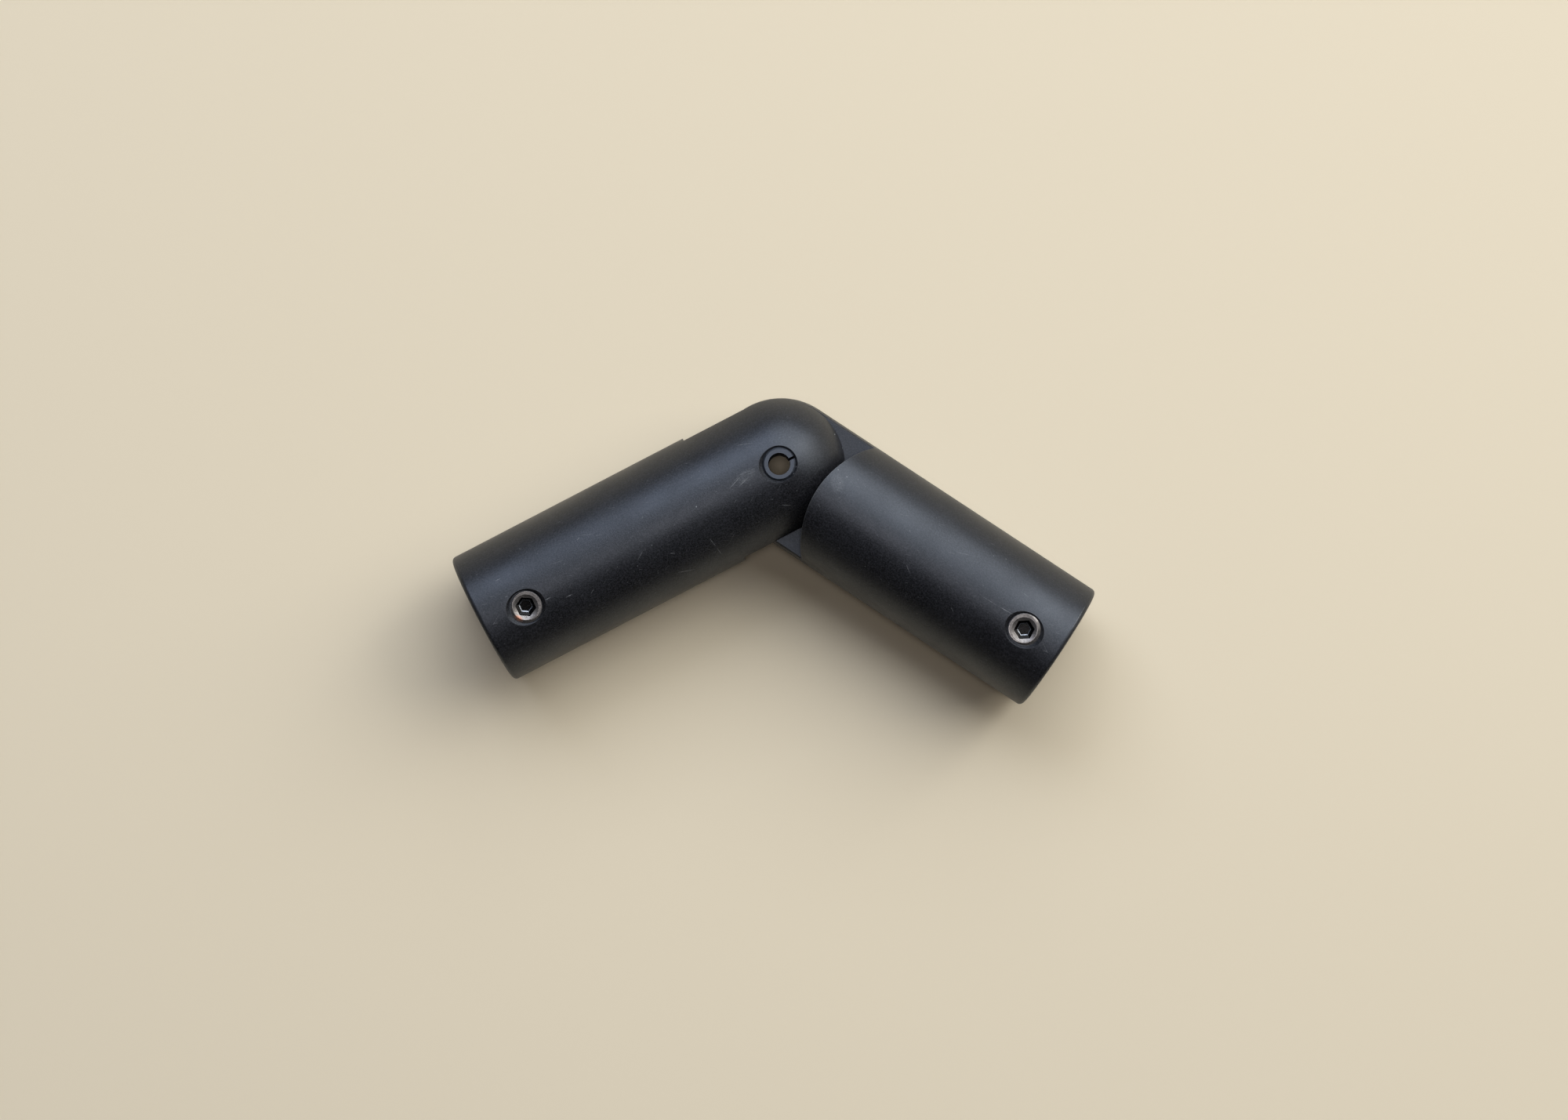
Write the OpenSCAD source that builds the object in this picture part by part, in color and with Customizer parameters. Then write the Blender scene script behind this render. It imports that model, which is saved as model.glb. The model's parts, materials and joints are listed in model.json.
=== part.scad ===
// Swivelling tube joint: two socket barrels hinged by a fork and tongue knuckle.
// The hinge pin stands upright, so the joint lies on its side and bends in the plan.

/* [Barrels] */
// Outside diameter of both barrels and of their ball ends
barrel_d = 25; // [22:0.5:32]
// Distance from the hinge pin to the mouth of each half
reach = 61; // [55:0.5:110]
// Radius on the outer edge of each mouth
mouth_round = 0.8; // [0.3:0.1:1.5]

/* [Sockets] */
// Outside diameter of the tube that each socket takes
tube_d = 16; // [12:0.5:17]
// Clearance between the tube and the socket wall, on the radius
tube_clearance = 0.1; // [0.05:0.05:0.3]
// Depth of the straight wall of each socket
socket_depth = 38; // [20:0.5:40]
// Lead-in chamfer at the mouth of each socket
socket_chamfer = 0.6; // [0.2:0.1:1.2]
// Included angle of the drilled bottom of each socket
drill_angle = 118; // [90:1:150]

/* [Knuckle] */
// Width of the slot between the two ears of the fork
slot_w = 7; // [5:0.1:9]
// Gap between each ear and the tongue
side_clearance = 0.1; // [0.05:0.05:0.3]
// How far the rounded nose of the tongue stops short of a full ball end
nose_setback = 0.4; // [0.1:0.1:1.5]
// Gap between the nose of the tongue and the floor of the slot
floor_gap = 1.3; // [0.5:0.1:3]
// Gap between the ball end of the ears and the foot of the tongue's shoulders
shoulder_gap = 0.8; // [0.5:0.1:2]
// How far the lip of each shoulder leans over its foot
lip_reach = 4.6; // [3:0.1:5]
// Radius of the hollow face of each shoulder
shoulder_curve_r = 35; // [25:1:60]
// Bevel that breaks the sharp edges of the ears and of the tongue
edge_break = 0.2; // [0.1:0.05:0.4]
// Angle between the two barrels, taken from a straight line
rest_bend_angle = 60.8; // [0:0.2:90]

/* [Hinge pin] */
// Outside diameter of the slotted spring pin
pin_d = 6; // [4:0.5:8]
// Wall of the rolled spring pin
pin_wall = 1; // [0.6:0.1:1.5]
// How far each end of the pin lies below the crown of its ear
pin_recess = 0.5; // [0.2:0.1:1.5]
// Bevel on the outer edge of the pin's ends
pin_bevel = 0.3; // [0.1:0.05:0.5]
// Width of the slit along the pin
pin_slit = 0.45; // [0.2:0.05:1]
// Direction in which the slit faces
pin_slit_angle = 28; // [0:1:360]
// Running clearance between the pin and the ears, on the radius
pin_clearance = 0.06; // [0.02:0.01:0.1]
// Diameter of the countersink round each end of the pin, at the crown of the ear
pin_sink_d = 7.6; // [6.6:0.1:9]

/* [Set screws] */
// Nominal thread diameter of the set screws
screw_d = 6; // [4:1:8]
// Length of the set screws
screw_len = 4; // [3:0.5:8]
// How far the face of each screw lies below the barrel's surface
screw_recess = 0.35; // [0.1:0.05:1]
// Clearance between the screw and its hole, on the radius
thread_clearance = 0.05; // [0.02:0.01:0.1]
// Size of the hexagon socket across its flats
hex_af = 3; // [2:0.5:4]
// Depth of the hexagon socket
hex_depth = 2; // [1:0.1:3]
// Bevel on the edges of the screw and round its socket
screw_bevel = 0.4; // [0.2:0.05:0.6]
// Turn of the hexagon in the fork's screw, from the line of its barrel
fork_hex_angle = 27; // [0:1:60]
// Turn of the hexagon in the tongue's screw, from the line of its barrel
tongue_hex_angle = 24; // [0:1:60]
// Diameter of the cup in the point of the screw
cup_d = 3; // [2:0.1:3.5]
// Diameter of the countersink round each screw, at the barrel's surface
screw_sink_d = 7.4; // [6.4:0.1:9]
// Distance from the mouth of the fork half to its screw
fork_screw_inset = 8.65; // [6:0.05:15]
// Distance from the mouth of the tongue half to its screw
tongue_screw_inset = 7.75; // [6:0.05:15]
// How far the fork's screw is turned round the barrel, towards the inside of the bend
fork_lean_angle = 8.5; // [0:0.5:20]
// How far the tongue's screw is turned round the barrel, towards the inside of the bend
tongue_lean_angle = 3.5; // [0:0.5:20]

/* [Hidden] */
$fn = 96;

barrel_r = barrel_d / 2;
socket_r = tube_d / 2 + tube_clearance;
pin_r = pin_d / 2;
ear_hole_r = pin_r + pin_clearance;
screw_r = screw_d / 2 - thread_clearance;
screw_hole_r = screw_d / 2;
slot_half = slot_w / 2;
tongue_half_t = slot_half - side_clearance;
half_bend = rest_bend_angle / 2;
overcut = 1;

// Distances from the pin along a barrel
nose_reach = barrel_r - nose_setback;
slot_floor = nose_reach + floor_gap;
ear_rim_r = sqrt(pow(barrel_r, 2) - pow(slot_half, 2));
shoulder_foot = ear_rim_r + shoulder_gap;
shoulder_lip = shoulder_foot - lip_reach;

// The origin is at the middle of the base of the bounding box, so the pin stands off it.
// The joint reaches furthest back at the outer corners of its mouths, and furthest
// forward at the tongue's nose.
mouth_y = (reach - mouth_round) * sin(half_bend) + (barrel_r - mouth_round) * cos(half_bend)
    + mouth_round;
nose_y = barrel_r - nose_setback * sin(half_bend);
pivot = [0, (mouth_y - nose_y) / 2, barrel_r];

// Both halves are drawn with the pin at the origin and the barrel along +X.
// These two modules bring them to their places.
module in_fork_frame() {
    translate(pivot) rotate([0, 0, 180 + half_bend]) children();
}

module in_tongue_frame() {
    translate(pivot) rotate([0, 0, -half_bend]) children();
}

// Solid barrel with a ball end, round a centre that stands start_x from the pin
module turned_blank(start_x) {
    translate([start_x, 0, 0]) {
        sphere(r = barrel_r);
        rotate([0, 90, 0]) rotate_extrude() {
            square([barrel_r, reach - start_x - mouth_round]);
            square([barrel_r - mouth_round, reach - start_x]);
            translate([barrel_r - mouth_round, reach - start_x - mouth_round])
                circle(r = mouth_round);
        }
    }
}

// Drilled socket with a lead-in chamfer, cut in from the mouth
module socket() {
    drill_tip = socket_r / tan(drill_angle / 2);
    translate([reach, 0, 0]) rotate([0, -90, 0]) rotate_extrude()
        polygon([
            [0, -overcut],
            [socket_r + socket_chamfer + overcut, -overcut],
            [socket_r, socket_chamfer],
            [socket_r, socket_depth],
            [0, socket_depth + drill_tip]
        ]);
}

// Brings a set screw or its hole to its place: the outward direction becomes +Z,
// with the barrel's surface at height 0
module at_screw(inset, lean) {
    translate([reach - inset, 0, 0]) rotate([-lean, 0, 0]) translate([0, 0, barrel_r]) children();
}

// Screw hole through one wall, with its countersink
module screw_hole() {
    translate([0, 0, -barrel_r]) cylinder(r = screw_hole_r, h = barrel_r + overcut);
    countersink(screw_hole_r, screw_sink_d / 2);
}

// Right-angled countersink, as wide as sink_r at height 0
module countersink(hole_r, sink_r) {
    rotate_extrude() polygon([
        [0, overcut],
        [sink_r + overcut, overcut],
        [hole_r, hole_r - sink_r],
        [0, hole_r - sink_r]
    ]);
}

// Bevel along the edge where a flat at height z meets the ball and the barrel.
// The part lies above the flat when side is 1 and below it when side is -1.
module edge_bevel(z, side, start_x, run) {
    rim_r = sqrt(pow(barrel_r, 2) - pow(z, 2));
    far = rim_r + overcut;
    corner = [
        [rim_r - edge_break, z],
        [far, z],
        [far, z + side * (edge_break + overcut)]
    ];
    translate([start_x, 0, 0]) rotate([0, 0, 90]) rotate_extrude(angle = 180) polygon(corner);
    for (flip = [0, 1]) mirror([0, flip, 0])
        translate([start_x, 0, 0]) rotate([90, 0, 90]) linear_extrude(run) polygon(corner);
}

// Half with two ears: the slot, the pin's holes, the socket and the screw hole
module fork_half() {
    color("#26272b") in_fork_frame() difference() {
        turned_blank(0);
        translate([-barrel_d, -barrel_d, -slot_half])
            cube([barrel_d + slot_floor, 2 * barrel_d, slot_w]);
        cylinder(r = ear_hole_r, h = 2 * barrel_d, center = true);
        for (side = [0, 1]) mirror([0, 0, side]) {
            translate([0, 0, barrel_r]) countersink(ear_hole_r, pin_sink_d / 2);
            edge_bevel(slot_half, 1, 0, slot_floor);
        }
        socket();
        at_screw(fork_screw_inset, fork_lean_angle) screw_hole();
    }
}

// Space above the tongue, bounded by the flat and by the hollow face of the shoulder.
// The face is an arc through the shoulder's foot and the lip at its crown.
module above_tongue() {
    chord = [shoulder_lip - shoulder_foot, barrel_r - tongue_half_t];
    middle = [shoulder_foot + shoulder_lip, barrel_r + tongue_half_t] / 2;
    set_back = sqrt(pow(shoulder_curve_r, 2) - pow(norm(chord) / 2, 2));
    centre = middle + set_back * [-chord.y, chord.x] / norm(chord);
    rotate([90, 0, 0]) intersection() {
        translate([centre.x, centre.y, 0])
            cylinder(r = shoulder_curve_r, h = 2 * barrel_d, center = true, $fn = 192);
        translate([-barrel_d, tongue_half_t, -barrel_d]) cube(2 * barrel_d);
    }
}

// Half with the tongue: flats, shoulders, the tight hole for the pin, socket and screw hole
module tongue_half() {
    color("#26272b") in_tongue_frame() difference() {
        turned_blank(nose_setback);
        for (side = [0, 1]) mirror([0, 0, side]) {
            above_tongue();
            edge_bevel(tongue_half_t, -1, nose_setback, shoulder_foot - nose_setback - edge_break);
        }
        cylinder(r = pin_r, h = barrel_d, center = true);
        socket();
        mirror([0, 1, 0]) at_screw(tongue_screw_inset, tongue_lean_angle) screw_hole();
    }
}

// Rolled steel tube, slit along one side, that springs open in the tongue
module spring_pin() {
    pin_half = barrel_r - pin_recess;
    color("#4d525c") translate(pivot) difference() {
        rotate_extrude() polygon([
            [pin_r - pin_wall, -pin_half],
            [pin_r - pin_bevel, -pin_half],
            [pin_r, pin_bevel - pin_half],
            [pin_r, pin_half - pin_bevel],
            [pin_r - pin_bevel, pin_half],
            [pin_r - pin_wall, pin_half]
        ]);
        rotate([0, 0, pin_slit_angle]) translate([0, -pin_slit / 2, -barrel_d])
            cube([barrel_d, pin_slit, 2 * barrel_d]);
    }
}

// Headless screw with a hexagon socket and a cup point, standing on its point at +Z up
module set_screw(turn) {
    hex_r = hex_af / 2 / cos(30);
    cup_r = cup_d / 2;
    cup_depth = cup_r / 2;
    translate([0, 0, -screw_recess - screw_len]) rotate([0, 0, turn]) difference() {
        rotate_extrude() polygon([
            [0, cup_depth],
            [cup_r, 0],
            [screw_r - screw_bevel, 0],
            [screw_r, screw_bevel],
            [screw_r, screw_len - screw_bevel],
            [screw_r - screw_bevel, screw_len],
            [0, screw_len]
        ]);
        translate([0, 0, screw_len - hex_depth])
            cylinder(r = hex_r, h = hex_depth + overcut, $fn = 6);
        rotate_extrude() polygon([
            [0, screw_len - screw_bevel],
            [hex_r - screw_bevel / 2, screw_len - screw_bevel],
            [hex_r + screw_bevel / 2, screw_len],
            [hex_r + screw_bevel / 2, screw_len + overcut],
            [0, screw_len + overcut]
        ]);
    }
}

module fork_set_screw() {
    color("#6d6862") in_fork_frame()
        at_screw(fork_screw_inset, fork_lean_angle) set_screw(fork_hex_angle);
}

module tongue_set_screw() {
    color("#6d6862") in_tongue_frame() mirror([0, 1, 0])
        at_screw(tongue_screw_inset, tongue_lean_angle) set_screw(tongue_hex_angle);
}

fork_half();
tongue_half();
spring_pin();
fork_set_screw();
tongue_set_screw();
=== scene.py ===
import json
import math

import bpy
from mathutils import Matrix, Vector


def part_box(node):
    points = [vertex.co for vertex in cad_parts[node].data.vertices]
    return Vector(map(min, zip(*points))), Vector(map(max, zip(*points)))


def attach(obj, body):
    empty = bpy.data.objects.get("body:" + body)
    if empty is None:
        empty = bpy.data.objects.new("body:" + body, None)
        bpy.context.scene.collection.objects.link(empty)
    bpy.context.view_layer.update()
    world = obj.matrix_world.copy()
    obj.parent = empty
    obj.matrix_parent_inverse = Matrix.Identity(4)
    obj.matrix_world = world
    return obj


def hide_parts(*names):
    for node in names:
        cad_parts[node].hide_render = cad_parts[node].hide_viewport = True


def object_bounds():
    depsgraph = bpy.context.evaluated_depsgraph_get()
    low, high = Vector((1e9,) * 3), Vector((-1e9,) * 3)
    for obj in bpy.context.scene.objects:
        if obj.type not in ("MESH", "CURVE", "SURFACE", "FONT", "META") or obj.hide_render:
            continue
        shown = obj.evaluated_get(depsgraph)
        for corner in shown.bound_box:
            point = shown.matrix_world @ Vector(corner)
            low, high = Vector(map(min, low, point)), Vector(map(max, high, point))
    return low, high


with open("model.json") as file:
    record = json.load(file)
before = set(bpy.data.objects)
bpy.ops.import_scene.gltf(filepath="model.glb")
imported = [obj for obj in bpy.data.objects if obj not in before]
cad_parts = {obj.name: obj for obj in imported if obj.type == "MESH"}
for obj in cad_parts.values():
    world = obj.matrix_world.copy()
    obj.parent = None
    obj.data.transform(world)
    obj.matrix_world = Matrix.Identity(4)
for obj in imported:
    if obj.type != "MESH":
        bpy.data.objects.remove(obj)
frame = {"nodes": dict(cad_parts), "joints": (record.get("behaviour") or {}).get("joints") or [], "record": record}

# The whole joint. Its size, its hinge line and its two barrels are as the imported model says:
# each barrel is known by the line of its socket, and the hinge pin stands where the lines meet.
bpy.ops.object.select_all(action="DESELECT")
cad_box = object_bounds()
MM = 0.001
joints = {joint["name"]: joint for joint in frame["joints"]}
sockets = {mount["name"]: mount for mount in frame["record"]["mounts"]}
pivot = Vector(joints["knuckle_hinge"]["pos_m"])
barrel_radius = (cad_box[1].z - cad_box[0].z) / 2
barrel_turn = {}
for half in ("fork", "tongue"):
    outward = Vector(sockets[half + "_socket"]["axis"])
    barrel_turn[half] = math.atan2(outward.y, outward.x)


# The camera looks straight down on the joint from about arm's length, turned a little, so that
# the pin shows as a ring with light through it and both set screws face it.
camera_height = 790 * MM
camera_turn = math.radians(2.9)
camera_aim = Vector((1.74 * MM, -2.70 * MM, 0))
camera_lens = 99.25
bpy.ops.object.camera_add(
    location=(camera_aim.x, camera_aim.y, pivot.z + camera_height),
    rotation=(0, 0, camera_turn),
)
camera = bpy.context.object
camera.data.sensor_width = 36
camera.data.lens = camera_lens
camera.data.clip_start = 0.05
bpy.context.scene.camera = camera


# The table under the joint: a pale, plain, dull board, far wider than the joint. A big window
# stands behind the knuckle to the right, with a smaller one beside it and a pale wall to the
# left. A small lamp straight above also shines down through the pin. The room is dim.
def linear(hex_colour):
    """A screen colour such as "#e1d6c1" as the linear colour that a shader takes."""
    channels = [int(hex_colour[i : i + 2], 16) / 255 for i in (1, 3, 5)]
    return [c / 12.92 if c <= 0.04045 else ((c + 0.055) / 1.055) ** 2.4 for c in channels] + [1]


def add_node(tree, kind, inputs=None, **settings):
    """Adds a node. An input takes a number, a colour or the socket that feeds it."""
    node = tree.nodes.new(kind)
    for name, value in settings.items():
        setattr(node, name, value)
    for name, value in (inputs or {}).items():
        if isinstance(value, bpy.types.NodeSocket):
            tree.links.new(value, node.inputs[name])
        else:
            node.inputs[name].default_value = value
    return node


def new_material(name):
    """An empty material, for nodes to be added to."""
    material = bpy.data.materials.new(name)
    material.use_nodes = True
    material.node_tree.nodes.clear()
    return material


table_half_width = 4.0
bpy.ops.mesh.primitive_plane_add(size=2 * table_half_width, location=(0, 0, 0))
table = bpy.context.object
table.name = "table"
# Oiled pale board: even and dull, with hardly any sheen.
board = new_material("pale_board_matt")
tree = board.node_tree
surface = add_node(
    tree,
    "ShaderNodeBsdfPrincipled",
    {"Base Color": linear("#d4c9b2"), "Roughness": 0.8, "Specular IOR Level": 0.2},
)
add_node(tree, "ShaderNodeOutputMaterial", {"Surface": surface.outputs[0]})
table.data.materials.append(board)


lamp_distance = 1.6


def soft_lamp(name, azimuth, elevation, width, power, colour):
    """A square lamp that faces the joint, with angles in degrees and its width in metres.
    Azimuth 0 is behind the knuckle, and grows to the right."""
    a, e = math.radians(azimuth), math.radians(elevation)
    towards = Vector((math.sin(a) * math.cos(e), math.cos(a) * math.cos(e), math.sin(e)))
    turn = towards.to_track_quat("Z", "Y").to_euler()
    bpy.ops.object.light_add(type="AREA", location=towards * lamp_distance, rotation=turn)
    lamp = bpy.context.object
    lamp.name = name
    lamp.data.shape = "SQUARE"
    lamp.data.size = width
    lamp.data.energy = power
    lamp.data.color = linear(colour)[:3]


soft_lamp("window", 21, 47, 1.6, 28, "#f8fbff")
soft_lamp("side_window", 60, 34, 1.1, 12, "#fffaf0")
soft_lamp("pale_wall", -30, 43, 0.8, 8.5, "#e6eeff")
soft_lamp("ceiling", 0, 90, 0.25, 3.3, "#f8f0ee")

room_light = 0.012
world = bpy.data.worlds.new("dim_room")
bpy.context.scene.world = world
world.use_nodes = True
world.node_tree.nodes["Background"].inputs["Color"].default_value = linear("#fff2e2")
world.node_tree.nodes["Background"].inputs["Strength"].default_value = room_light
bpy.context.scene.view_settings.view_transform = "Standard"


# The fork half: black acetal bar, turned to a ball end, bored for the tube, then slotted and
# cross-drilled. Black through and through, satin from the lathe, with light scuffs and scratches.
# The outside of the bend lies on one side of the fork's barrel and on the other of the tongue's.
outside = {"fork": -1, "tongue": 1}


def barrel_millimetres(tree, half):
    """Object coordinates in mm, with the pin at 0, the barrel along +X, +Z up and +Y towards
    the outside of the bend."""
    place = add_node(tree, "ShaderNodeTexCoord")
    return add_node(
        tree,
        "ShaderNodeMapping",
        {
            "Vector": place.outputs["Object"],
            "Location": pivot,
            "Rotation": (0, 0, barrel_turn[half]),
            "Scale": (MM, outside[half] * MM, MM),
        },
        vector_type="TEXTURE",
    ).outputs[0]


def scratch(tree, place, before, start, end, width, strength):
    """Adds one tapering scratch or speck on the upper side to what came before. Sizes in mm.
    It reaches 4 mm up and down, past the barrel's round, and fades over its outer two fifths."""
    reach, soft_edge = 4, 0.4
    middle = [(a + b) / 2 for a, b in zip(start, end)]
    length = max(math.dist(start, end), width)
    beyond_pin = min(middle[0], 0)
    height = math.sqrt(max((barrel_radius / MM) ** 2 - middle[1] ** 2 - beyond_pin**2, 0))
    shape = add_node(
        tree,
        "ShaderNodeMapping",
        {
            "Vector": place,
            "Location": (middle[0], middle[1], height),
            "Rotation": (0, 0, math.atan2(end[1] - start[1], end[0] - start[0])),
            "Scale": (0.5 * length, 0.5 * width, reach),
        },
        vector_type="TEXTURE",
    )
    spot = add_node(
        tree,
        "ShaderNodeTexGradient",
        {"Vector": shape.outputs[0]},
        gradient_type="SPHERICAL",
    )
    line = add_node(
        tree,
        "ShaderNodeMapRange",
        {0: spot.outputs["Fac"], 1: 0.0, 2: soft_edge, 3: 0.0, 4: strength},
    )
    return add_node(
        tree, "ShaderNodeMath", {0: before, 1: line.outputs[0]}, operation="ADD"
    ).outputs[0]


def flatness(tree, width):
    """1 where the surface is flat, and less where it turns within the given width."""
    rounded = add_node(tree, "ShaderNodeBevel", {"Radius": width}, samples=6)
    facing = add_node(tree, "ShaderNodeNewGeometry")
    return add_node(
        tree,
        "ShaderNodeVectorMath",
        {0: rounded.outputs[0], 1: facing.outputs["Normal"]},
        operation="DOT_PRODUCT",
    ).outputs["Value"]


def black_acetal(name, half, scratches, haze):
    """Satin black acetal: dark all through, slightly bluish where light rakes it, paler where it is scratched, and
    paler along its edges, partly from wear and partly as a painted highlight."""
    material = new_material(name)
    tree = material.node_tree
    place = barrel_millimetres(tree, half)

    # Skin left by the tool, as specks about 0.3 mm wide, and softer patches from handling
    grain_size, patch_size = 0.28, 9.0
    grain = add_node(
        tree,
        "ShaderNodeTexNoise",
        {"Vector": place, "Scale": 1 / grain_size, "Detail": 1.5, "Roughness": 0.6},
    ).outputs[0]
    patches = add_node(
        tree,
        "ShaderNodeTexNoise",
        {"Vector": place, "Scale": 1 / patch_size, "Detail": 3.0, "Roughness": 0.55},
    ).outputs[0]

    # Dust and nicks: balls 0.2 mm wide scattered through the space that the skin cuts
    dust_gap, dust_radius = 2.8, 0.1
    dust = add_node(
        tree,
        "ShaderNodeTexVoronoi",
        {"Vector": place, "Scale": 1 / dust_gap, "Randomness": 1.0},
    )
    nick_paleness = 0.38
    nicks = add_node(
        tree,
        "ShaderNodeMapRange",
        {
            0: dust.outputs["Distance"],
            1: dust_radius / dust_gap,
            2: 0.0,
            3: 0.0,
            4: nick_paleness,
        },
    ).outputs[0]

    # Hair scratches, up to 7 mm long, and shorter curved ones, as noise drawn out to threads
    hair_width, hair_paleness = 0.18, 0.22
    marks = nicks
    for lean, length, curl in ((0.35, 7.0, 0.0), (-0.55, 2.6, 0.6)):
        threads = add_node(
            tree,
            "ShaderNodeMapping",
            {
                "Vector": place,
                "Rotation": (0.1, 0.15, lean),
                "Scale": (length, hair_width, hair_width),
            },
            vector_type="TEXTURE",
        )
        hair = add_node(
            tree,
            "ShaderNodeTexNoise",
            {"Vector": threads.outputs[0], "Scale": 1.0, "Detail": 0.0, "Distortion": curl},
        )
        thin = add_node(
            tree,
            "ShaderNodeMapRange",
            {0: hair.outputs[0], 1: 0.79, 2: 0.88, 3: 0.0, 4: hair_paleness},
        )
        marks = add_node(
            tree, "ShaderNodeMath", {0: marks, 1: thin.outputs[0]}, operation="ADD"
        ).outputs[0]

    # The placed scratches join the nicks and hairs, and the grain of the skin breaks all of them up, as it does
    # the hazes of scratches too fine to tell apart and the faint paler patch near the tongue's end
    for start, end, width, strength in scratches:
        marks = scratch(tree, place, marks, start, end, width, strength)
    broken = add_node(
        tree, "ShaderNodeMapRange", {0: grain, 1: 0.35, 2: 0.6, 3: 0.35, 4: 1.0}
    ).outputs[0]
    marks = add_node(
        tree, "ShaderNodeMath", {0: marks, 1: broken}, operation="MULTIPLY"
    ).outputs[0]

    pale_hazes = 0.0
    for start, end, width, strength in haze:
        pale_hazes = scratch(tree, place, pale_hazes, start, end, width, strength)
    pale_hazes = add_node(
        tree, "ShaderNodeMath", {0: pale_hazes, 1: grain}, operation="MULTIPLY"
    ).outputs[0]

    # Paler edges, partly wear and partly a painted highlight: where the surface turns within a quarter of a
    # millimetre
    edge_width, edge_highlight_and_wear = 0.25 * MM, 0.18
    flat = flatness(tree, edge_width)
    edges = add_node(
        tree, "ShaderNodeMapRange", {0: flat, 1: 0.99, 2: 0.85, 3: 0.0, 4: edge_highlight_and_wear}
    ).outputs[0]
    edges = add_node(
        tree, "ShaderNodeMath", {0: edges, 1: patches}, operation="MULTIPLY"
    ).outputs[0]

    pale_marks_and_edge_highlight = add_node(tree, "ShaderNodeMath", {0: marks, 1: pale_hazes}, operation="ADD").outputs[0]
    pale_marks_and_edge_highlight = add_node(
        tree, "ShaderNodeMath", {0: pale_marks_and_edge_highlight, 1: edges}, operation="ADD", use_clamp=True
    ).outputs[0]

    # Colours: the two tones of the skin, and the grey of worn places and of the painted edge highlight
    speckle = add_node(
        tree, "ShaderNodeMapRange", {0: grain, 1: 0.36, 2: 0.70, 3: 0.0, 4: 1.0}
    ).outputs[0]
    skin = add_node(
        tree,
        "ShaderNodeMix",
        {0: speckle, 6: linear("#070708"), 7: linear("#242428")},
        data_type="RGBA",
    ).outputs[2]
    colour = add_node(
        tree,
        "ShaderNodeMix",
        {0: pale_marks_and_edge_highlight, 6: skin, 7: linear("#8b8d90")},
        data_type="RGBA",
    ).outputs[2]
    roughness = add_node(
        tree, "ShaderNodeMapRange", {0: patches, 1: 0.3, 2: 0.7, 3: 0.40, 4: 0.50}
    ).outputs[0]
    roughness = add_node(
        tree, "ShaderNodeMath", {0: pale_marks_and_edge_highlight, 1: 0.25, 2: roughness}, operation="MULTIPLY_ADD"
    ).outputs[0]

    grain_depth = 0.014 * MM
    bump = add_node(
        tree,
        "ShaderNodeBump",
        {"Height": grain, "Distance": grain_depth, "Strength": 1.0},
    )
    acetal_ior = 1.56
    cool_sheen = (0.77, 0.86, 1.0, 1.0)
    surface = add_node(
        tree,
        "ShaderNodeBsdfPrincipled",
        {
            "Base Color": colour,
            "Roughness": roughness,
            "IOR": acetal_ior,
            "Specular Tint": cool_sheen,
            "Normal": bump.outputs[0],
        },
    )
    add_node(tree, "ShaderNodeOutputMaterial", {"Surface": surface.outputs[0]})
    return material


# Each scratch is its start and end, measured from the pin along the barrel and across it, its width, and how pale
# it is. Hazes of fine scratches, and a faint paler patch near the tongue's end, are given in the same way. All in
# mm.
fork_scratches = [
    ((5.8, 0.5), (8.4, -0.3), 0.13, 0.55),
    ((6.3, 0.6), (8.0, 0.0), 0.09, 0.35),
    ((7.0, 1.3), (10.3, 0.05), 0.11, 0.50),
    ((7.4, 1.4), (9.6, 0.6), 0.08, 0.30),
    ((3.8, 1.2), (8.2, 1.6), 0.10, 0.22),
    ((4.2, 0.8), (6.6, 1.0), 0.08, 0.22),
    ((17.3, -6.0), (17.0, -8.0), 0.14, 0.35),
    ((17.0, -8.0), (16.7, -9.9), 0.14, 0.35),
    ((21.9, -9.9), (25.6, -8.8), 0.14, 0.35),
    ((24.0, -5.6), (24.9, -5.2), 0.16, 0.4),
    ((1.4, -7.7), (3.1, -6.7), 0.16, 0.35),
    ((43.7, -3.6), (45.3, -3.6), 0.16, 0.5),
    ((47.4, -2.3), (48.8, -2.3), 0.16, 0.45),
    ((42.3, 2.5), (45.2, 3.0), 0.14, 0.22),
    ((54.0, 4.9), (55.2, 4.9), 0.16, 0.35),
    ((54.1, 1.5), (54.9, 1.5), 0.14, 0.3),
    ((38.0, 4.9), (38.7, 4.6), 0.16, 0.45),
    ((16.7, 0.05), (16.9, 0.05), 0.30, 0.8),
    ((27.0, -2.4), (27.2, -2.4), 0.22, 0.45),
    ((31.0, -4.5), (31.2, -4.5), 0.20, 0.4),
    ((34.3, -3.0), (34.5, -3.0), 0.22, 0.45),
    ((48.5, 8.1), (48.7, 8.1), 0.22, 0.4),
    ((-2.6, -1.9), (-2.3, -1.7), 0.26, 0.5),
    ((-1.6, -2.8), (-1.3, -2.6), 0.24, 0.5),
    ((0.0, -2.9), (0.3, -2.8), 0.22, 0.45),
    ((-11.6, 0.2), (-11.4, 0.3), 0.26, 0.6),
    ((-11.8, -2.7), (-11.6, -2.5), 0.30, 0.7),
    ((-11.6, -4.3), (-11.4, -4.2), 0.26, 0.6),
]
fork_haze = [((4.0, 1.0), (8.5, 0.6), 2.4, 0.14)]
fork_acetal = black_acetal("black_acetal_fork", "fork", fork_scratches, fork_haze)
fork_half = frame["nodes"]["fork_half"]
fork_half.data.materials.clear()
fork_half.data.materials.append(fork_acetal)


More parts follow.
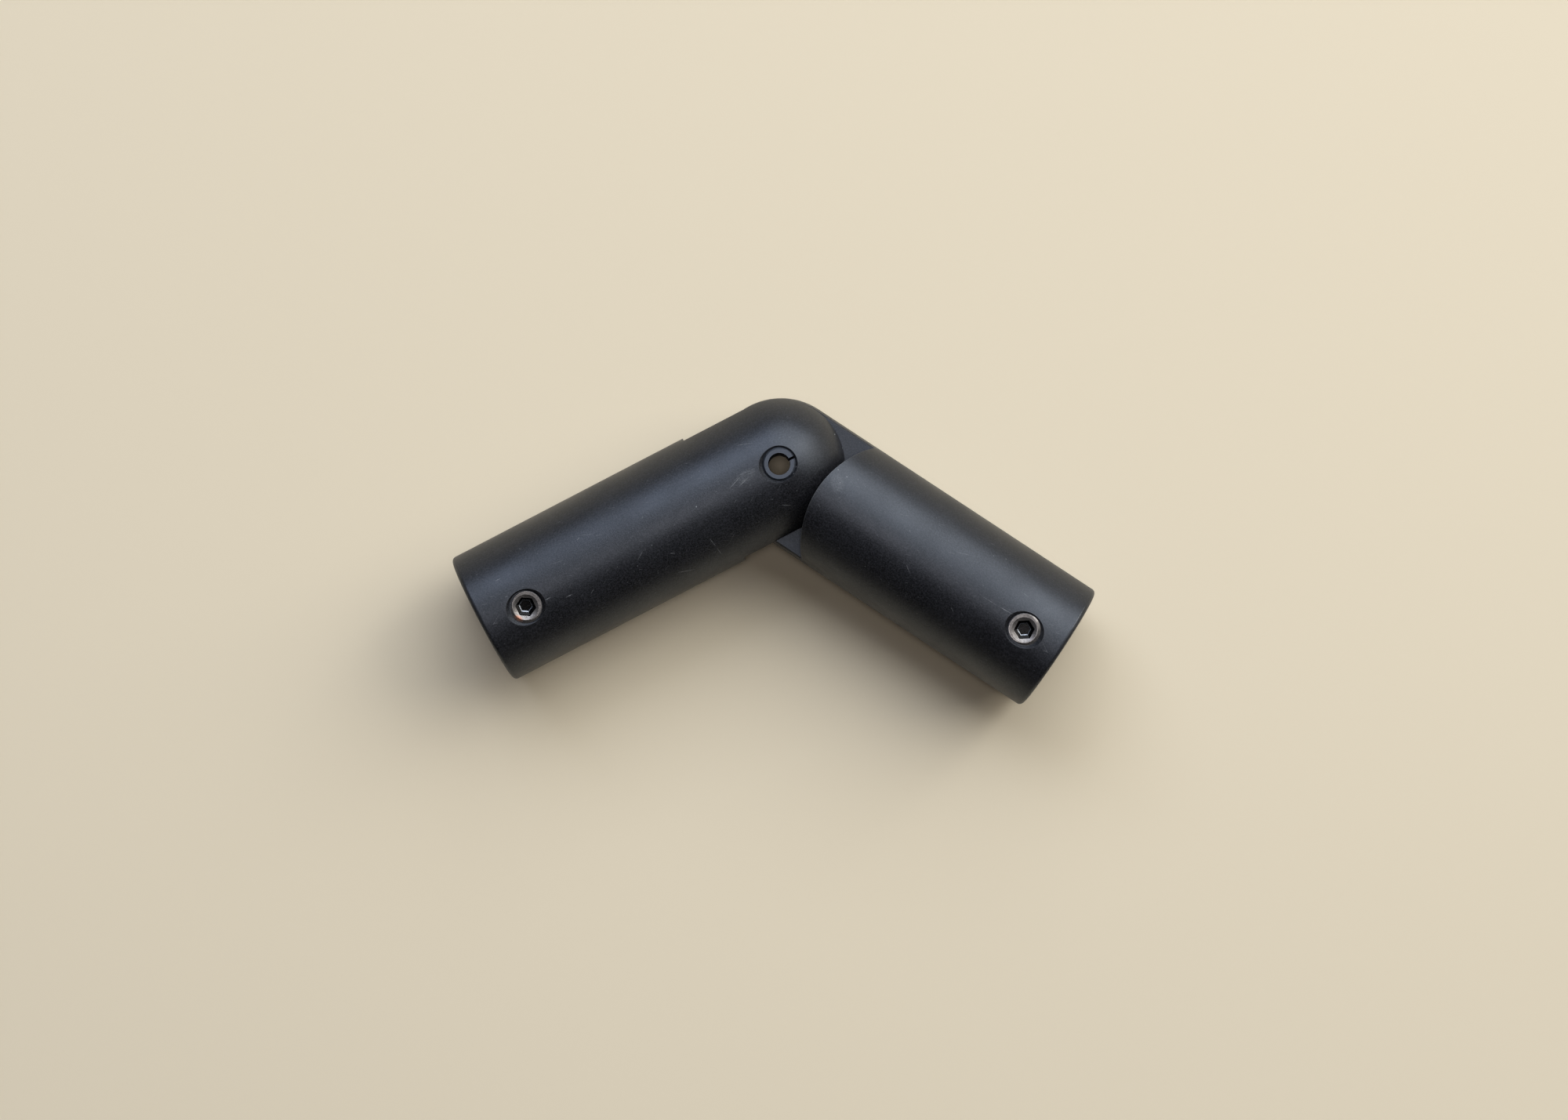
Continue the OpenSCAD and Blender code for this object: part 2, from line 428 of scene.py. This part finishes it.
# The tongue half: the same bar, ball end and bore, milled flat on both sides to a tongue that
# fills the fork's slot, with hollowed shoulders for the ears to swing in.
tongue_scratches = [
    ((42.8, 0.1), (47.6, 0.25), 0.12, 0.24),
    ((47.0, 0.25), (50.3, 0.45), 0.17, 0.42),
    ((49.0, 4.7), (51.2, 4.6), 0.14, 0.2),
    ((9.3, 5.0), (9.7, 5.0), 0.26, 0.6),
    ((11.3, 4.8), (11.7, 4.7), 0.26, 0.6),
    ((10.9, 3.2), (11.1, 3.2), 0.20, 0.5),
    ((43.5, 8.2), (43.8, 8.2), 0.20, 0.45),
    ((41.3, 7.4), (41.5, 7.4), 0.20, 0.4),
    ((35.5, -8.9), (35.7, -8.9), 0.20, 0.4),
    ((23.0, -6.9), (23.2, -6.9), 0.20, 0.4),
    ((60.3, 3.2), (60.3, 9.8), 0.20, 0.3),
    ((60.9, 3.6), (61.0, 4.0), 0.24, 0.5),
]
tongue_haze = [
    ((9.5, 4.5), (11.8, 1.2), 3.0, 0.16),
    # A faint paler patch on the tongue's upper side, from 53 to 60 mm out from the pin
    ((53.0, 2.0), (60.0, 3.0), 7.0, 0.05),
]
tongue_acetal = black_acetal("black_acetal_tongue", "tongue", tongue_scratches, tongue_haze)
tongue_half = frame["nodes"]["tongue_half"]
tongue_half.data.materials.clear()
tongue_half.data.materials.append(tongue_acetal)


# The spring pin: spring steel strip rolled to a slit tube, hardened and blued, driven through
# the ears and gripping the tongue. Its ends are dull, bluish and a little scuffed.
blued_steel = new_material("blued_spring_steel")
tree = blued_steel.node_tree
place = add_node(tree, "ShaderNodeTexCoord").outputs["Object"]
scuff_size = 0.4
scuffs = add_node(
    tree,
    "ShaderNodeTexNoise",
    {"Vector": place, "Scale": 1 / (scuff_size * MM), "Detail": 4.0, "Roughness": 0.6},
).outputs[0]
colour = add_node(
    tree,
    "ShaderNodeMix",
    {0: scuffs, 6: linear("#383c44"), 7: linear("#626872")},
    data_type="RGBA",
).outputs[2]
roughness = add_node(
    tree, "ShaderNodeMapRange", {0: scuffs, 1: 0.3, 2: 0.7, 3: 0.5, 4: 0.68}
).outputs[0]
surface = add_node(
    tree,
    "ShaderNodeBsdfPrincipled",
    {"Base Color": colour, "Metallic": 1.0, "Roughness": roughness},
)
add_node(tree, "ShaderNodeOutputMaterial", {"Surface": surface.outputs[0]})
spring_pin = frame["nodes"]["spring_pin"]
spring_pin.data.materials.clear()
spring_pin.data.materials.append(blued_steel)


# The two set screws: M6 x 1 headless screws, 4 mm long, with a hexagon socket and a cup point.
# Cold-formed alloy steel, thread-rolled and blackened, worn back to grey metal on the face.
screw_length = 4.0 * MM
crest_radius = 2.95 * MM
thread_pitch = 1.0 * MM
root_radius = crest_radius - 0.54 * thread_pitch
crest_flat = thread_pitch / 8
root_flat = thread_pitch / 4
rim_bevel = 0.15 * MM
cup_radius = 1.5 * MM
cup_depth = 0.75 * MM
key_across_flats = 3.3 * MM
key_depth = 1.5 * MM
foot_across_flats = 1.8 * MM
foot_depth = 1.95 * MM
lead_radius = 2.3 * MM
lead_slope = 0.55
circle_facets = 96
thread_facets = 48
smooth_angle = math.radians(28)
merge_gap = 0.001 * MM


def choose(obj, test):
    """Selects the vertices of obj that pass the test, in edit mode with vertices to select."""
    bpy.ops.mesh.select_all(action="DESELECT")
    bpy.ops.object.mode_set(mode="OBJECT")
    for vertex in obj.data.vertices:
        vertex.select = test(vertex.co)
    bpy.ops.object.mode_set(mode="EDIT")


def cut(obj, tool, operation):
    """Cuts obj by a tool, or keeps what lies in the tool, and deletes the tool."""
    modifier = obj.modifiers.new("cut", "BOOLEAN")
    modifier.operation = operation
    modifier.solver = "EXACT"
    modifier.object = tool
    bpy.context.view_layer.objects.active = obj
    bpy.ops.object.modifier_apply(modifier="cut")
    bpy.data.objects.remove(tool)


def make_thread(inner, outer, tip, root, pitch, turns):
    """An open helical surface: tip is the flat at the outer radius, root the flat between turns
    at the inner one."""
    bpy.ops.mesh.primitive_plane_add(size=1, location=((inner + outer) / 2, 0, 0))
    thread = bpy.context.object
    thread.scale = (outer - inner, pitch - root, 1)
    thread.rotation_euler = (math.pi / 2, 0, 0)
    bpy.ops.object.transform_apply(rotation=True, scale=True)
    middle = (inner + outer) / 2
    thread.select_set(True)
    bpy.ops.object.transform_apply(location=True)
    bpy.ops.object.mode_set(mode="EDIT")
    bpy.ops.mesh.select_mode(type="VERT")
    bpy.ops.mesh.select_all(action="SELECT")
    bpy.ops.mesh.delete(type="ONLY_FACE")
    choose(thread, lambda co: co.x < middle)
    bpy.ops.mesh.select_mode(type="EDGE")
    bpy.ops.mesh.delete(type="EDGE")
    bpy.ops.mesh.select_mode(type="VERT")
    choose(thread, lambda co: co.x > middle)
    bpy.ops.transform.resize(value=(1, 1, tip / (pitch - root)), center_override=(outer, 0, 0))
    choose(thread, lambda co: co.x < middle and co.z > 0)
    bpy.ops.mesh.extrude_region_move(TRANSFORM_OT_translate={"value": (0, 0, root)})
    bpy.ops.object.mode_set(mode="OBJECT")
    screw = thread.modifiers.new("screw", "SCREW")
    screw.axis = "Z"
    screw.angle = 2 * math.pi
    screw.screw_offset = pitch
    screw.iterations = turns
    screw.steps = thread_facets
    screw.render_steps = thread_facets
    screw.use_merge_vertices = True
    screw.merge_threshold = merge_gap
    bpy.ops.object.modifier_apply(modifier="screw")
    bpy.ops.object.mode_set(mode="EDIT")
    bpy.ops.mesh.select_all(action="SELECT")
    bpy.ops.mesh.remove_doubles(threshold=merge_gap)
    bpy.ops.object.mode_set(mode="OBJECT")
    return thread


def threaded_rod(inner, outer, tip, root, pitch, length):
    """A closed threaded rod whose crest passes half a pitch under height 0. It has 0.4 mm to
    spare at both ends of a screw from height 0 down to -length."""
    turns, spare = 8, 0.4 * MM
    rod = make_thread(inner, outer, tip, root, pitch, turns)
    bpy.ops.object.mode_set(mode="EDIT")
    bpy.ops.mesh.select_all(action="SELECT")
    bpy.ops.transform.translate(value=(0, 0, (1.5 - turns) * pitch))
    for end, keep_below in ((spare, True), (-length - spare, False)):
        bpy.ops.mesh.select_all(action="SELECT")
        bpy.ops.mesh.bisect(
            plane_co=(0, 0, end),
            plane_no=(0, 0, 1),
            threshold=merge_gap,
            use_fill=True,
            clear_outer=keep_below,
            clear_inner=not keep_below,
        )
    bpy.ops.mesh.select_all(action="SELECT")
    bpy.ops.mesh.normals_make_consistent(inside=False)
    bpy.ops.object.mode_set(mode="OBJECT")
    return rod


set_screw = threaded_rod(
    root_radius, crest_radius, crest_flat, root_flat, thread_pitch, screw_length
)

# Blank with a bevelled rim and a bevelled point that holds a cup. It gives the thread its length.
point_bevel = 0.35 * MM
blank_radius = crest_radius + 0.01 * MM
bpy.ops.mesh.primitive_cylinder_add(
    vertices=circle_facets, radius=blank_radius, depth=screw_length, location=(0, 0, 0)
)
blank = bpy.context.object
bpy.ops.object.mode_set(mode="EDIT")
bpy.ops.mesh.select_all(action="SELECT")
bpy.ops.transform.translate(value=(0, 0, -screw_length / 2))
bpy.ops.mesh.select_mode(type="VERT")
choose(blank, lambda co: co.z > -0.01 * screw_length)
bpy.ops.mesh.bevel(offset=rim_bevel, segments=1, affect="EDGES")
choose(blank, lambda co: co.z < -0.99 * screw_length)
bpy.ops.mesh.bevel(offset=point_bevel, segments=1, affect="EDGES")
bpy.ops.mesh.select_mode(type="FACE")
bpy.ops.mesh.select_all(action="DESELECT")
bpy.ops.object.mode_set(mode="OBJECT")
for face in blank.data.polygons:
    face.select = face.normal.z < -0.99
bpy.ops.object.mode_set(mode="EDIT")
bpy.ops.mesh.inset(thickness=blank_radius - point_bevel - cup_radius)
bpy.ops.mesh.poke(offset=0)
bpy.ops.mesh.select_mode(type="VERT")
choose(blank, lambda co: co.z < -0.99 * screw_length and math.hypot(co.x, co.y) < 0.01 * MM)
bpy.ops.transform.translate(value=(0, 0, cup_depth))
bpy.ops.object.mode_set(mode="OBJECT")
cut(set_screw, blank, "INTERSECT")

# The punch that forms the socket: a hexagon whose point narrows to a smaller, blunt hexagon
bpy.ops.mesh.primitive_cylinder_add(
    vertices=6,
    radius=key_across_flats / 2 / math.cos(math.pi / 6),
    depth=2 * key_depth,
    rotation=(0, 0, math.pi / 6),
)
punch = bpy.context.object
bpy.ops.object.mode_set(mode="EDIT")
bpy.ops.mesh.select_mode(type="FACE")
bpy.ops.mesh.select_all(action="DESELECT")
bpy.ops.object.mode_set(mode="OBJECT")
for face in punch.data.polygons:
    face.select = face.normal.z < -0.99
bpy.ops.object.mode_set(mode="EDIT")
bpy.ops.mesh.extrude_region_move(
    TRANSFORM_OT_translate={"value": (0, 0, key_depth - foot_depth)}
)
narrowing = foot_across_flats / key_across_flats
bpy.ops.transform.resize(value=(narrowing, narrowing, 1), center_override=(0, 0, -foot_depth))
bpy.ops.object.mode_set(mode="OBJECT")
cut(set_screw, punch, "DIFFERENCE")

# Wide, shallow conical lead into the socket
lead_height = 0.4 * MM
bpy.ops.mesh.primitive_cone_add(
    vertices=circle_facets,
    radius1=lead_radius - lead_height / lead_slope,
    radius2=lead_radius + lead_height / lead_slope,
    depth=2 * lead_height,
    location=(0, 0, 0),
)
cut(set_screw, bpy.context.object, "DIFFERENCE")

bpy.ops.object.select_all(action="DESELECT")
set_screw.select_set(True)
bpy.context.view_layer.objects.active = set_screw
bpy.ops.object.mode_set(mode="EDIT")
bpy.ops.mesh.select_all(action="SELECT")
bpy.ops.mesh.remove_doubles(threshold=merge_gap / 2)
bpy.ops.mesh.normals_make_consistent(inside=False)
bpy.ops.object.mode_set(mode="OBJECT")
bpy.ops.object.shade_smooth_by_angle(angle=smooth_angle)

# Each vertex keeps its place in the screw, in mm from the middle of the face, for the marks
places = set_screw.data.attributes.new("from_face", "FLOAT_VECTOR", "POINT")
places.data.foreach_set("vector", [c / MM for v in set_screw.data.vertices for c in v.co])

# Blackened alloy steel, worn: black in the socket and down the thread, with a painted glint at the foot of the
# socket, grey metal on the face and palest on its edges, with a bloom of orange rust on one side of the fork's
# screw.
worn_steel = new_material("blackened_steel_worn")
tree = worn_steel.node_tree
place = add_node(tree, "ShaderNodeTexCoord").outputs["Object"]
wear_size = 0.5
wear = add_node(
    tree,
    "ShaderNodeTexNoise",
    {"Vector": place, "Scale": 1 / (wear_size * MM), "Detail": 5.0, "Roughness": 0.65},
).outputs[0]
worn_width = 0.12 * MM
flat = flatness(tree, worn_width)
edges = add_node(
    tree, "ShaderNodeMapRange", {0: flat, 1: 0.995, 2: 0.90, 3: 0.0, 4: 0.7}
).outputs[0]
bare = add_node(
    tree, "ShaderNodeMapRange", {0: wear, 1: 0.30, 2: 0.65, 3: 0.1, 4: 0.6}
).outputs[0]
bare = add_node(
    tree, "ShaderNodeMath", {0: bare, 1: edges}, operation="ADD", use_clamp=True
).outputs[0]

# Fine rings left by the tool on the face, 0.15 mm apart
from_face = add_node(tree, "ShaderNodeAttribute", attribute_name="from_face").outputs["Vector"]
across_axis = add_node(
    tree, "ShaderNodeVectorMath", {0: from_face, 1: (1, 1, 0)}, operation="MULTIPLY"
).outputs[0]
radius = add_node(
    tree, "ShaderNodeVectorMath", {0: across_axis}, operation="LENGTH"
).outputs["Value"]
height = add_node(tree, "ShaderNodeSeparateXYZ", {0: from_face}).outputs["Z"]
depth = add_node(
    tree, "ShaderNodeMath", {0: height, 1: -1.0}, operation="MULTIPLY"
).outputs[0]
ring_gap, ring_contrast = 0.15, 0.10
rings = add_node(
    tree, "ShaderNodeMath", {0: radius, 1: 2 * math.pi / ring_gap}, operation="MULTIPLY"
).outputs[0]
rings = add_node(tree, "ShaderNodeMath", {0: rings}, operation="SINE").outputs[0]
bare = add_node(
    tree,
    "ShaderNodeMath",
    {0: rings, 1: ring_contrast, 2: bare},
    operation="MULTIPLY_ADD",
    use_clamp=True,
).outputs[0]

# Black oxide is left inside the socket, below the cone of the lead, and on the thread from
# its second turn on
below_lead = add_node(
    tree, "ShaderNodeMath", {0: radius, 1: lead_slope, 2: depth}, operation="MULTIPLY_ADD"
).outputs[0]
cone = lead_slope * lead_radius / MM
socket_limit = 2.1
socket = add_node(
    tree, "ShaderNodeMapRange", {0: below_lead, 1: cone + 0.02, 2: cone + 0.08, 3: 0, 4: 1}
).outputs[0]
inside = add_node(
    tree, "ShaderNodeMath", {0: radius, 1: socket_limit}, operation="LESS_THAN"
).outputs[0]
socket = add_node(
    tree, "ShaderNodeMath", {0: socket, 1: inside}, operation="MULTIPLY"
).outputs[0]
oxide = add_node(
    tree, "ShaderNodeMapRange", {0: depth, 1: 0.7, 2: 1.1, 3: 0.0, 4: 1.0}
).outputs[0]
oxide = add_node(
    tree, "ShaderNodeMath", {0: oxide, 1: socket}, operation="MAXIMUM"
).outputs[0]

# Painted glint, partly real wear: the end of the key has scoured a narrow band bright just above the foot of the
# socket, and the band is painted bluish white to show the light it catches
glint_depth, glint_reach = 1.87, 0.05
painted_glint = add_node(
    tree,
    "ShaderNodeMath",
    {0: depth, 1: glint_depth, 2: glint_reach},
    operation="COMPARE",
).outputs[0]
painted_glint = add_node(
    tree, "ShaderNodeMath", {0: painted_glint, 1: wear}, operation="MULTIPLY"
).outputs[0]
colour = add_node(
    tree,
    "ShaderNodeMix",
    {0: bare, 6: linear("#524f4e"), 7: linear("#a19e9d")},
    data_type="RGBA",
).outputs[2]
# Black oxide in the socket, with the painted glint band laid into it
dark = add_node(
    tree,
    "ShaderNodeMix",
    {0: painted_glint, 6: linear("#0d0d0e"), 7: linear("#c8d0dc")},
    data_type="RGBA",
).outputs[2]
colour = add_node(
    tree, "ShaderNodeMix", {0: oxide, 6: colour, 7: dark}, data_type="RGBA"
).outputs[2]


screw_parts = {"fork": "fork_set_screw", "tongue": "tongue_set_screw"}
key_turn = {"fork": math.radians(27), "tongue": math.radians(-24)}
screw_place = {}
for half, node in screw_parts.items():
    low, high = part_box(node)
    outward = -Vector(joints[half + "_screw_travel"]["axis"])
    along = Vector(sockets[half + "_socket"]["axis"])
    across = outward.cross(along).normalized()
    turn = Matrix((along, across, outward)).transposed().to_4x4()
    face_centre = (low + high) / 2 + outward * screw_length / 2
    screw_place[half] = (
        Matrix.Translation(face_centre) @ turn @ Matrix.Rotation(key_turn[half], 4, "Z")
    )

# The rust lies along the rim of the fork's screw, towards the mouth and inside of the bend
rust_direction = math.radians(30)
rust_radius = 2.5 * MM
rust_spread = (0.8 * MM, 1.4 * MM, 1.4 * MM)
unturned = screw_place["fork"] @ Matrix.Rotation(-key_turn["fork"], 4, "Z")
rust_centre = unturned @ Vector(
    (rust_radius * math.cos(rust_direction), rust_radius * math.sin(rust_direction), 0)
)
rust_turn = barrel_turn["fork"] + rust_direction
spot = add_node(
    tree,
    "ShaderNodeMapping",
    {
        "Vector": place,
        "Location": rust_centre,
        "Rotation": (0, 0, rust_turn),
        "Scale": rust_spread,
    },
    vector_type="TEXTURE",
)
bloom = add_node(
    tree, "ShaderNodeTexGradient", {"Vector": spot.outputs[0]}, gradient_type="SPHERICAL"
)
rust = add_node(
    tree, "ShaderNodeMath", {0: bloom.outputs["Fac"], 1: wear}, operation="MULTIPLY"
).outputs[0]
rust = add_node(
    tree, "ShaderNodeMapRange", {0: rust, 1: 0.12, 2: 0.40, 3: 0.0, 4: 0.7}
).outputs[0]
colour = add_node(
    tree, "ShaderNodeMix", {0: rust, 6: colour, 7: linear("#b9744f")}, data_type="RGBA"
).outputs[2]
metal = add_node(
    tree, "ShaderNodeMapRange", {0: rust, 1: 0.0, 2: 1.0, 3: 0.8, 4: 0.1}
).outputs[0]
roughness = add_node(
    tree, "ShaderNodeMapRange", {0: bare, 1: 0.0, 2: 1.0, 3: 0.55, 4: 0.32}
).outputs[0]
roughness = add_node(
    tree, "ShaderNodeMath", {0: oxide, 1: -0.15, 2: roughness}, operation="MULTIPLY_ADD"
).outputs[0]
wear_depth = 0.02 * MM
bump = add_node(
    tree, "ShaderNodeBump", {"Height": wear, "Distance": wear_depth, "Strength": 1.0}
)
surface = add_node(
    tree,
    "ShaderNodeBsdfPrincipled",
    {
        "Base Color": colour,
        "Metallic": metal,
        "Roughness": roughness,
        "Normal": bump.outputs[0],
    },
)
add_node(tree, "ShaderNodeOutputMaterial", {"Surface": surface.outputs[0]})
set_screw.data.materials.clear()
set_screw.data.materials.append(worn_steel)

for half, node in screw_parts.items():
    screw = set_screw.copy()
    screw.data = set_screw.data.copy()
    screw.name = half + "_screw_threaded"
    bpy.context.scene.collection.objects.link(screw)
    screw.data.transform(screw_place[half])
    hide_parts(node)
    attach(screw, half + "_screw")
bpy.data.objects.remove(set_screw)


# The threads that the screws run in, tapped straight into the plastic of both halves, from
# just under the countersink to the bore. Each is a thin sleeve sunk into the wall of its hole.
sleeve_radius = 3.1 * MM
sleeve_top = -0.40 * MM
sleeve_end = -3.95 * MM
ridge_radius = 2.5 * MM
groove_radius = 3.05 * MM
groove_flat = 0.13 * MM
ridge_flat = 0.24 * MM
tap = threaded_rod(
    ridge_radius, groove_radius, groove_flat, ridge_flat, thread_pitch, screw_length
)
bpy.ops.mesh.primitive_cylinder_add(
    vertices=circle_facets,
    radius=sleeve_radius,
    depth=sleeve_top - sleeve_end,
    location=(0, 0, (sleeve_top + sleeve_end) / 2),
)
sleeve = bpy.context.object
bpy.ops.object.transform_apply(location=True)
cut(sleeve, tap, "DIFFERENCE")
bpy.ops.object.select_all(action="DESELECT")
sleeve.select_set(True)
bpy.context.view_layer.objects.active = sleeve
bpy.ops.object.shade_smooth_by_angle(angle=smooth_angle)

for half, acetal in (("fork", fork_acetal), ("tongue", tongue_acetal)):
    thread = sleeve.copy()
    thread.data = sleeve.data.copy()
    thread.name = half + "_tapped_thread"
    bpy.context.scene.collection.objects.link(thread)
    thread.data.transform(screw_place[half])
    thread.data.materials.append(acetal)
    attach(thread, half)
bpy.data.objects.remove(sleeve)
